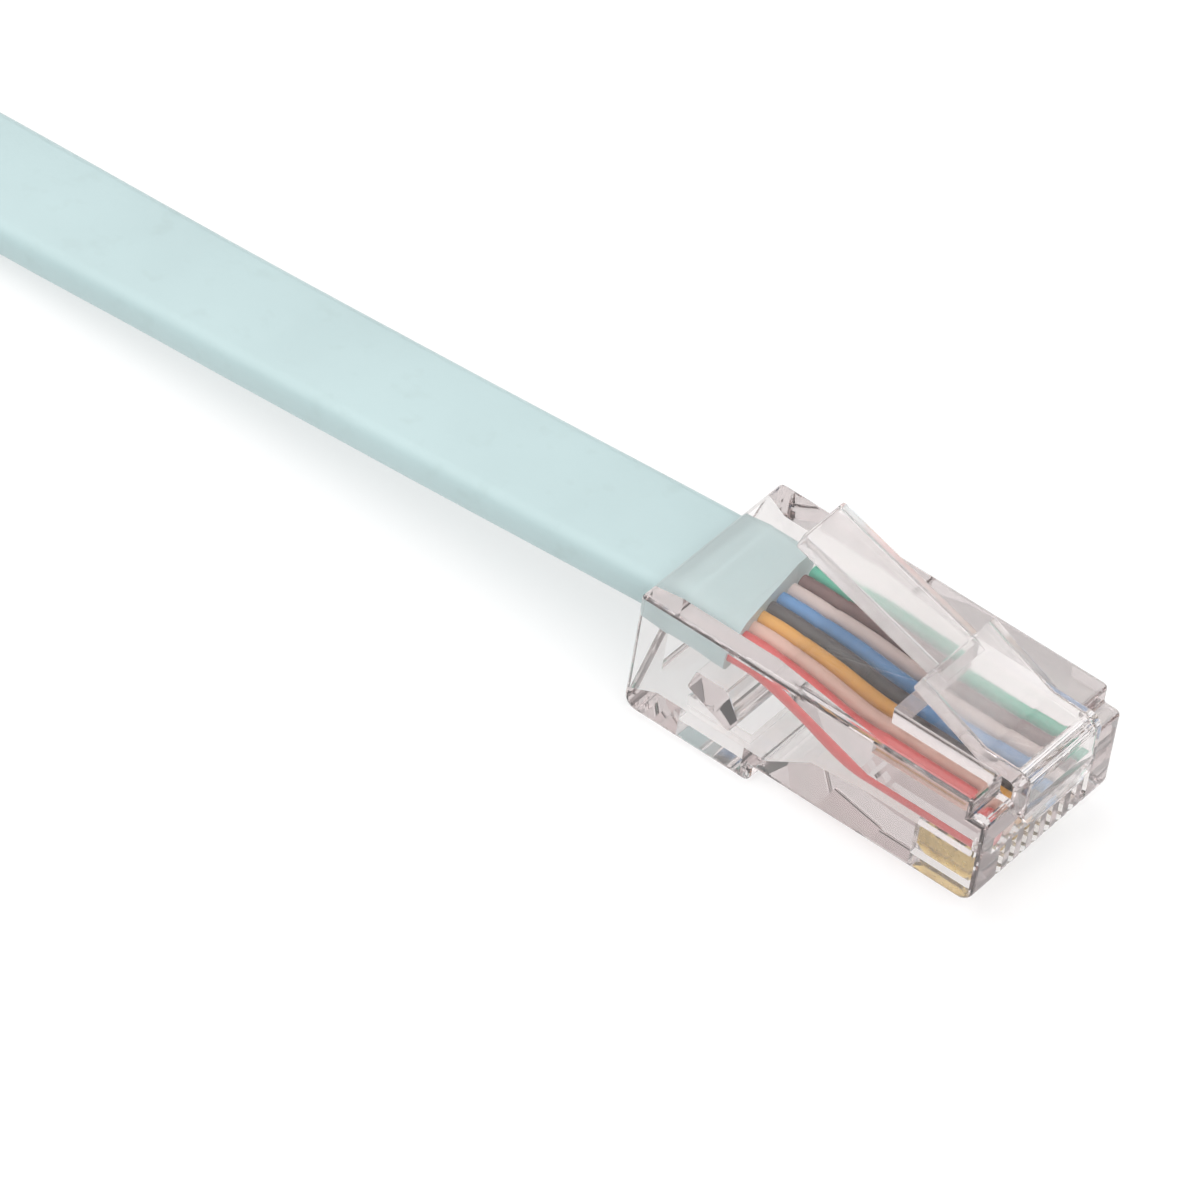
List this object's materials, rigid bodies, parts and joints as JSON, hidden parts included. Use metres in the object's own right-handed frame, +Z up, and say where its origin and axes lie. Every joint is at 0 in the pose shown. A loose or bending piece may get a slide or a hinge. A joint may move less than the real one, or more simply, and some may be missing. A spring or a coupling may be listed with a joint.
{
  "type": "rj45 console cable",
  "caption": "Flat console cable with a clear modular plug on each end, its spare length wound in a tied hank.",
  "frame": {"origin": "on the floor under the middle of the near plug's bounding box", "axes": "+X from the cable towards the near plug's nose, +Y across the plug, +Z up, on the latch side"},
  "size_m": [0.1945, 0.0685, 0.0131],
  "materials": {
    "clear_plastic": "clear gloss",
    "contact_gold": "gold plated",
    "jacket": "satin",
    "tie": "satin",
    "wire_red": "satin",
    "wire_blush": "satin",
    "wire_ochre": "satin",
    "wire_black": "satin",
    "wire_blue": "satin",
    "wire_grey": "satin",
    "wire_brown": "satin",
    "wire_green": "satin"
  },
  "bodies": {
    "cable": {"near_housing": "clear_plastic", "near_contact_1": "contact_gold", "near_wire_1": "wire_red", "near_contact_2": "contact_gold", "near_wire_2": "wire_blush", "near_contact_3": "contact_gold", "near_wire_3": "wire_ochre", "near_contact_4": "contact_gold", "near_wire_4": "wire_black", "near_contact_5": "contact_gold", "near_wire_5": "wire_blue", "near_contact_6": "contact_gold", "near_wire_6": "wire_grey", "near_contact_7": "contact_gold", "near_wire_7": "wire_brown", "near_contact_8": "contact_gold", "near_wire_8": "wire_green", "far_housing": "clear_plastic", "far_contact_1": "contact_gold", "far_wire_1": "wire_green", "far_contact_2": "contact_gold", "far_wire_2": "wire_brown", "far_contact_3": "contact_gold", "far_wire_3": "wire_grey", "far_contact_4": "contact_gold", "far_wire_4": "wire_blue", "far_contact_5": "contact_gold", "far_wire_5": "wire_black", "far_contact_6": "contact_gold", "far_wire_6": "wire_ochre", "far_contact_7": "contact_gold", "far_wire_7": "wire_blush", "far_contact_8": "contact_gold", "far_wire_8": "wire_red", "cable_stretch": "jacket", "cable_hank": "jacket", "cable_tail": "jacket", "tie_outer": "tie", "tie_inner": "tie"},
    "near_latch": {"near_latch": "clear_plastic"},
    "far_latch": {"far_latch": "clear_plastic"}
  },
  "joints": [
    {"name": "near_latch_press", "type": "hinge", "parent": "cable", "child": "near_latch", "pos_m": [0.01033, 0, 0.00625], "axis": [0, -1, 0], "range_deg": [0, 12], "stiffness_Nm_per_rad": 0.02},
    {"name": "far_latch_press", "type": "hinge", "parent": "cable", "child": "far_latch", "pos_m": [-0.13737, -0.02925, 0.00584], "axis": [0, 0, -1], "range_deg": [0, 12], "stiffness_Nm_per_rad": 0.02}
  ]
}
